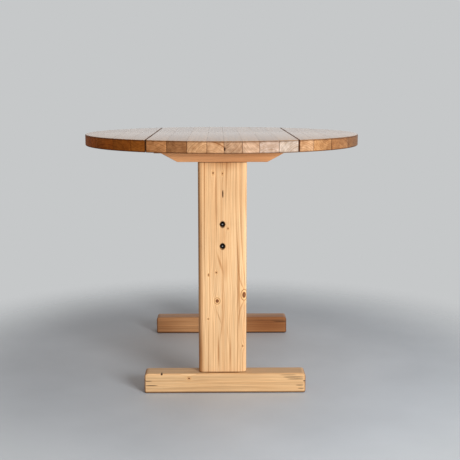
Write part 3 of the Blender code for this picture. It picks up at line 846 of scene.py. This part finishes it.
def make_post(end, side, seed, knots, streaks_and_shade, splits_and_shade):
    """A post whose marks lie on its outer face, which looks along Y to that side."""
    low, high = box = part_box(f"{end}_post")
    face = low.y if side < 0 else high.y
    pith = (-POST_PITH[0] * side, (low.y + high.y) / 2 - side * POST_PITH[1])
    joints = (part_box(f"{end}_foot")[1].z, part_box(f"{end}_bearer")[0].z)
    # Painted shade where the post meets the foot and the bearer.
    dirt_and_shade = [("Z", level, JOINT_SHADE_REACH, 1.0) for level in joints]
    # The counterbores' painted shade goes in with the splits.
    splits_and_shade += counterbore_marks(end)
    material = wood_material(
        f"{end}_post", POST, box, "X", "Z", pith, seed, face, knots, streaks_and_shade, splits_and_shade, dirt_and_shade)
    set_material(worn_board(f"{end}_post", "Z"), material)


def make_foot(end, side, wood, seed, knots, streaks_and_shade, splits_and_shade):
    """A foot whose marks lie on its front. Its dirt and painted contact shadow at the floor are laid on
    twice, to be almost black.
    """
    low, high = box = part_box(f"{end}_foot")
    pith = ((low.z + high.z) / 2 - FOOT_PITH[0], (low.y + high.y) / 2 - side * FOOT_PITH[1])
    dirt_and_shade = [("Z", low.z, FLOOR_DIRT_AND_SHADE_REACH, 1.0)] * 2
    # Darker ends, partly their end grain and partly painted shade.
    dirt_and_shade += [("X", level, FOOT_END_GRAIN_AND_SHADE_REACH, FOOT_END_GRAIN_AND_SHADE_STRENGTH) for level in (low.x, high.x)]
    material = wood_material(
        f"{end}_foot", wood, box, "Z", "X", pith, seed, low.y, knots, streaks_and_shade, splits_and_shade, dirt_and_shade)
    set_material(worn_board(f"{end}_foot", "X"), material)


def make_bearer(end, seed):
    low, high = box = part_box(f"{end}_bearer")
    pith = ((low.z + high.z) / 2 + BEARER_PITH, (low.y + high.y) / 2)
    material = wood_material(f"{end}_bearer", BEARER, box, "Z", "X", pith, seed)
    set_material(worn_board(f"{end}_bearer", "X", amplitude=LIGHT_WEAR), material)


def make_base():
    """The two ends of the base. The rear post takes over some of the front one's marks, mirrored."""
    rear_knots = mirrored(REAR_POST_KNOTS, REAR_KNOT_SHIFT)
    rear_streaks = mirrored(REAR_POST_STREAKS, REAR_STREAK_SHIFT)
    make_post("front", -1, 3.1, POST_KNOTS, POST_STREAKS_AND_SHADE, POST_SPLITS)
    make_post("rear", 1, 23.7, rear_knots, rear_streaks, ())
    make_foot("front", -1, FOOT, 8.1, FOOT_KNOTS, (), FOOT_SPLITS)
    make_foot("rear", 1, REAR_FOOT, 28.7, mirrored(FOOT_KNOTS), REAR_FOOT_STREAKS_AND_SHADE, REAR_FOOT_SPLITS)
    make_bearer("front", 12.1)
    make_bearer("rear", 32.7)


def make_stretcher_and_lopers():
    """The boards that keep their CAD meshes, each with its wood and the axes across and along its face."""
    boards = [("stretcher", BASE, "Z", "Y")]
    for end in ("front", "rear"):
        boards += [(f"{end}_{place}_guide_rail", PLAIN, "Y", "X") for place in ("inner", "outer")]
        boards += [(f"{end}_{side}_keeper", PLAIN, "X", "Y") for side in ("left", "right")]
        for side in ("left", "right"):
            boards.append((f"{side}_{end}_loper", BEECH, "Y", "X"))
            boards.append((f"{side}_{end}_loper_peg", BEECH, "X", "Z"))
    for number, (node, wood, across, grain) in enumerate(boards):
        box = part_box(node)
        middle = (box[0] + box[1]) / 2
        through = (set("XYZ") - {across, grain}).pop()
        pith_across = middle["XYZ".index(across)] + SMALL_BOARD_PITH[0]
        pith_through = middle["XYZ".index(through)] - SMALL_BOARD_PITH[1]
        seed = 40 + number * 1.9
        dress(node, wood_material(node, wood, box, across, grain, (pith_across, pith_through), seed))


# ---------------------------------------------------------------- the metal

# Each metal's colour, its grime and its roughness.
BLACK_STEEL = (rgb(30, 26, 26), rgb(17, 14, 13), 0.42)
ZINC = (rgb(190, 192, 194), rgb(132, 126, 116), 0.36)
SCREW = (rgb(170, 164, 152), rgb(112, 102, 88), 0.4)
CROWN_RADIUS = 0.0022


def make_metal():
    zinc = metal_material("zinc_plate", *ZINC)
    for end, outer in (("front", 0), ("rear", 1)):
        for level in ("upper", "lower"):
            node = f"{end}_bolt_{level}"
            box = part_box(node)
            crown = (box[0] + box[1]) / 2
            crown.y = box[outer].y
            dress(node, metal_material(node, *BLACK_STEEL, crown=(crown, CROWN_RADIUS)))
            dress(f"{end}_barrel_nut_{level}", zinc)
        for side in ("left", "right"):
            for part in ("fixed_flap", "moving_flap", "pin"):
                dress(f"{side}_{end}_hinge_{part}", zinc)
    make_screws()


SLOT_HALF = 0.00045
HEAD_STEPS = 12
SHANK_RADIUS = 0.002
CONE_DEPTH = 0.0016

# A screw head's profile, as (radius, height) from the wood outwards.
FLUSH_HEAD = ((0.0038, -0.0007), (0.0038, -0.0001))
ROUND_HEAD = ((0.0036, 0.0), (0.0034, 0.0008), (0.0026, 0.0014), (0.0013, 0.0017))

# Where the screws lie: in a flap from the middle of its pin, in the rails as shares of half their length.
FLAP_THICKNESS = 0.002
FLAP_SCREWS = ((0.012, -0.017), (0.012, 0.017), (0.026, 0.0))
GUIDE_RAIL_SCREWS = (-0.88, 0.0, 0.88)
BEARER_SCREWS = (-0.58, 0.58)


def half_moon(radius, height, side):
    """The outline of a screw head on one side of its slot."""
    reach = math.acos(SLOT_HALF / radius)
    outline = []
    for step in range(HEAD_STEPS + 1):
        angle = reach * (2 * step / HEAD_STEPS - 1)
        outline.append(Vector((side * radius * math.cos(angle), side * radius * math.sin(angle), height)))
    return outline


def add_screw(bm, place, turn, head):
    """A slotted screw that is driven up from below: its head's two halves, and its cone in the wood."""
    downwards = Matrix.Rotation(math.pi, 4, "X")
    matrix = Matrix.Translation(place) @ downwards @ Matrix.Rotation(turn, 4, "Z")
    for side in (-1, 1):
        rings = [[bm.verts.new(matrix @ point) for point in half_moon(*level, side)] for level in head]
        for lower, upper in zip(rings, rings[1:]):
            for step in range(len(lower)):
                following = (step + 1) % len(lower)
                bm.faces.new((lower[step], lower[following], upper[following], upper[step]))
        bm.faces.new(rings[-1])
    radius, base = head[0]
    middle = matrix @ Matrix.Translation((0, 0, base - CONE_DEPTH / 2))
    bmesh.ops.create_cone(
        bm, cap_ends=True, segments=2 * HEAD_STEPS,
        radius1=SHANK_RADIUS, radius2=radius, depth=CONE_DEPTH, matrix=middle)


def screws(node, places, head, material):
    """One piece that holds all the screws of a node, each with its slot at another angle."""
    bm = bmesh.new()
    for number, place in enumerate(places):
        turn = 0.7 + 1.9 * number + 3.1 * place.x
        add_screw(bm, place, turn, head)
    set_material(finish_mesh(f"{node}_screws", bm, nodes[node]["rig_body"]), material)


def make_screws():
    material = metal_material("screw_steel", *SCREW)
    for end in ("front", "rear"):
        for side, sign in (("left", -1), ("right", 1)):
            axis = sum(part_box(f"{side}_{end}_hinge_pin"), Vector()) / 2
            for flap, away in (("fixed_flap", -sign), ("moving_flap", sign)):
                node = f"{side}_{end}_hinge_{flap}"
                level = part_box(node)[1].z - FLAP_THICKNESS
                places = [Vector((axis.x + away * x, axis.y + y, level)) for x, y in FLAP_SCREWS]
                screws(node, places, FLUSH_HEAD, material)
            low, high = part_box(f"{end}_{side}_keeper")
            rails = [sum(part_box(f"{end}_{rail}_guide_rail"), Vector()) / 2 for rail in ("inner", "outer")]
            places = [Vector(((low.x + high.x) / 2, rail.y, low.z)) for rail in rails]
            screws(f"{end}_{side}_keeper", places, ROUND_HEAD, material)
        for rail in ("inner", "outer"):
            low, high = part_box(f"{end}_{rail}_guide_rail")
            middle_y = (low.y + high.y) / 2
            places = [Vector((share * high.x, middle_y, low.z)) for share in GUIDE_RAIL_SCREWS]
            screws(f"{end}_{rail}_guide_rail", places, ROUND_HEAD, material)
        low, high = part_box(f"{end}_bearer")
        places = [Vector((share * high.x, (low.y + high.y) / 2, low.z)) for share in BEARER_SCREWS]
        screws(f"{end}_bearer", places, ROUND_HEAD, material)


# ---------------------------------------------------------------- floor, light and camera

WALL = rgb(198, 200, 201)
FLOOR_DARK = rgb(192, 201, 211)
FLOOR_LIGHT = rgb(204, 213, 223)
FLOOR_SOLID = 0.6
FLOOR_END = 1.25
FLOOR_MOTTLE = (3.0, 3.0, 3.0)

# The room's brightness from straight below to straight above, and its tint from the left to the right.
ROOM_UPWARDS = (
    (0.0, grey(0.3)),
    (0.48, grey(0.45)),
    (0.52, grey(0.78)),
    (0.64, grey(0.72)),
    (0.8, grey(0.4)),
    (1.0, grey(0.3)),
)
ROOM_SIDEWAYS = (
    (0.0, (0.27, 0.16, 0.08, 1.0)),
    (0.25, (0.6, 0.47, 0.36, 1.0)),
    (0.45, grey(1.0)),
    (1.0, grey(1.0)),
)
WINDOW_PLACE = (1.35, -2.4, 0.95)
WINDOW_TARGET = (0, 0, 0.4)
WINDOW_SIZE = 1.2
WINDOW_POWER = 66
WINDOW_COLOUR = (1.0, 0.98, 0.95)

CAMERA_PLACE = (-0.0134, -2.711, 0.8754)
CAMERA_DOWN = 9.443
CAMERA_TO_RIGHT = 0.834
CAMERA_LENS = 66.9


def make_floor():
    """A plain pale floor with the faint mottling of smooth concrete, which fades into the pale room."""
    material, g, shader = new_material("pale_floor")
    place = g.node("ShaderNodeTexCoord").outputs["Object"]
    mottle = g.noise(place, FLOOR_MOTTLE, detail=5.0)
    g.feed(shader.inputs["Base Color"], g.ramp(mottle, [(0.3, FLOOR_DARK), (0.7, FLOOR_LIGHT)]))
    g.feed(shader.inputs["Roughness"], g.math("MULTIPLY_ADD", mottle, 0.2, 0.5))
    g.feed(shader.inputs["Alpha"], g.smooth(g.length(place), FLOOR_END, FLOOR_SOLID))
    bm = bmesh.new()
    bmesh.ops.create_circle(bm, cap_ends=True, segments=96, radius=FLOOR_END)
    mesh = bpy.data.meshes.new("pale_floor")
    bm.to_mesh(mesh)
    bm.free()
    mesh.materials.append(material)
    floor = bpy.data.objects.new("pale_floor", mesh)
    bpy.context.scene.collection.objects.link(floor)


def add_window():
    """A large round soft light, which shows neither to the camera nor in reflections."""
    data = bpy.data.lights.new("window", "AREA")
    data.shape = "DISK"
    data.size = WINDOW_SIZE
    data.energy = WINDOW_POWER
    data.color = WINDOW_COLOUR
    light = bpy.data.objects.new("window", data)
    light.location = WINDOW_PLACE
    towards = Vector(WINDOW_TARGET) - Vector(WINDOW_PLACE)
    light.rotation_euler = towards.to_track_quat("-Z", "Y").to_euler()
    light.visible_camera = False
    light.visible_glossy = False
    bpy.context.scene.collection.objects.link(light)


def make_light():
    """A pale room with bright walls, a duller ceiling and a dim left side, and its window's soft light."""
    world = bpy.data.worlds.new("pale_room")
    world.use_nodes = True
    g = Graph(world.node_tree)
    background = world.node_tree.nodes["Background"]
    direction = g.split(g.node("ShaderNodeTexCoord").outputs["Generated"])
    upwards = g.ramp(g.math("MULTIPLY_ADD", direction["Z"], 0.5, 0.5), ROOM_UPWARDS)
    sideways = g.ramp(g.math("MULTIPLY_ADD", direction["X"], 0.5, 0.5), ROOM_SIDEWAYS)
    seen = g.node("ShaderNodeLightPath").outputs["Is Camera Ray"]
    g.feed(background.inputs["Color"], g.mix(seen, g.tint(1.0, upwards, sideways), WALL))
    bpy.context.scene.world = world
    add_window()
    bpy.context.scene.view_settings.view_transform = "Standard"


def make_camera():
    data = bpy.data.cameras.new("camera")
    data.lens = CAMERA_LENS
    data.sensor_width = 36
    camera = bpy.data.objects.new("camera", data)
    camera.location = CAMERA_PLACE
    camera.rotation_euler = (math.radians(90 - CAMERA_DOWN), 0, math.radians(-CAMERA_TO_RIGHT))
    bpy.context.scene.collection.objects.link(camera)
    bpy.context.scene.camera = camera


make_top()
make_base()
make_stretcher_and_lopers()
make_metal()
make_floor()
make_light()
make_camera()
